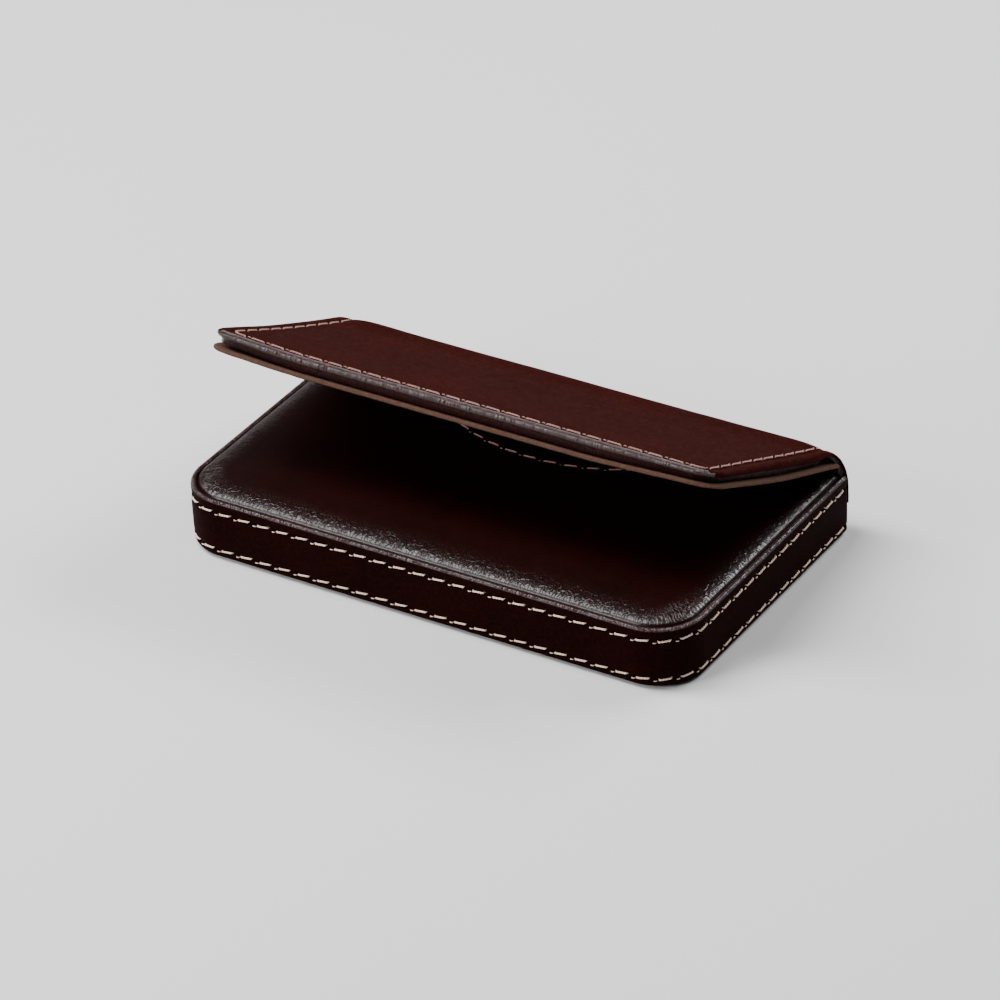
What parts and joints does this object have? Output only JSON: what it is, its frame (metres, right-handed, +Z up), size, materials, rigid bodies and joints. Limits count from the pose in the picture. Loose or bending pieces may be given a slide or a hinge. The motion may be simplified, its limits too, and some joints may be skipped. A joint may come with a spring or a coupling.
{
  "type": "business card holder",
  "caption": "Rigid leather-covered card case with a padded top, an open card compartment at the spine side, a soft spine and a magnetic flap.",
  "frame": {"origin": "on the surface the case lies on, under the middle of its outline seen from above", "axes": "+X along the long side, +Y from the front to the spine, +Z up"},
  "size_m": [0.1, 0.0594, 0.0355],
  "materials": {
    "brown_leather": "grained reddish-brown coated leather, semi-matt",
    "dark_leather": "smooth near-black oxblood leather with a soft gloss",
    "tan_backing": "matt tan leather backing with a raw edge",
    "greyboard": "grey pressed board",
    "frame_board": "plain fibreboard",
    "foam": "dark sheet foam",
    "lining_cloth": "fine dark grey lining cloth",
    "thread": "twisted cream thread",
    "magnet": "nickel-plated flat magnet"
  },
  "bodies": {
    "box": {"bottom_cover": "brown_leather", "bottom_board": "greyboard", "floor_lining": "lining_cloth", "side_frame": "frame_board", "side_band": "brown_leather", "upper_wall_stitching": "thread", "lower_wall_stitching": "thread", "ceiling_lining": "lining_cloth", "top_board": "greyboard", "box_magnet": "magnet", "top_foam": "foam", "deck_leather": "dark_leather", "notch_stitching": "thread", "top_welt": "brown_leather", "lower_fold": "brown_leather"},
    "spine": {"spine_leather": "brown_leather", "spine_lining": "dark_leather", "spine_stitching_left": "thread", "spine_stitching_right": "thread"},
    "flap": {"flap_cover": "brown_leather", "flap_board": "greyboard", "flap_magnet": "magnet", "flap_lining": "tan_backing", "flap_stitching": "thread", "upper_fold": "brown_leather"}
  },
  "joints": [
    {"name": "lower_fold_hinge", "type": "hinge", "parent": "box", "child": "spine", "pos_m": [0, 0.0292, 0.0005], "axis": [-1, 0, 0], "range_deg": [0, 90]},
    {"name": "upper_fold_hinge", "type": "hinge", "parent": "spine", "child": "flap", "pos_m": [0, 0.0292, 0.016], "axis": [-1, 0, 0], "range_deg": [-22.8, 67.2]}
  ]
}
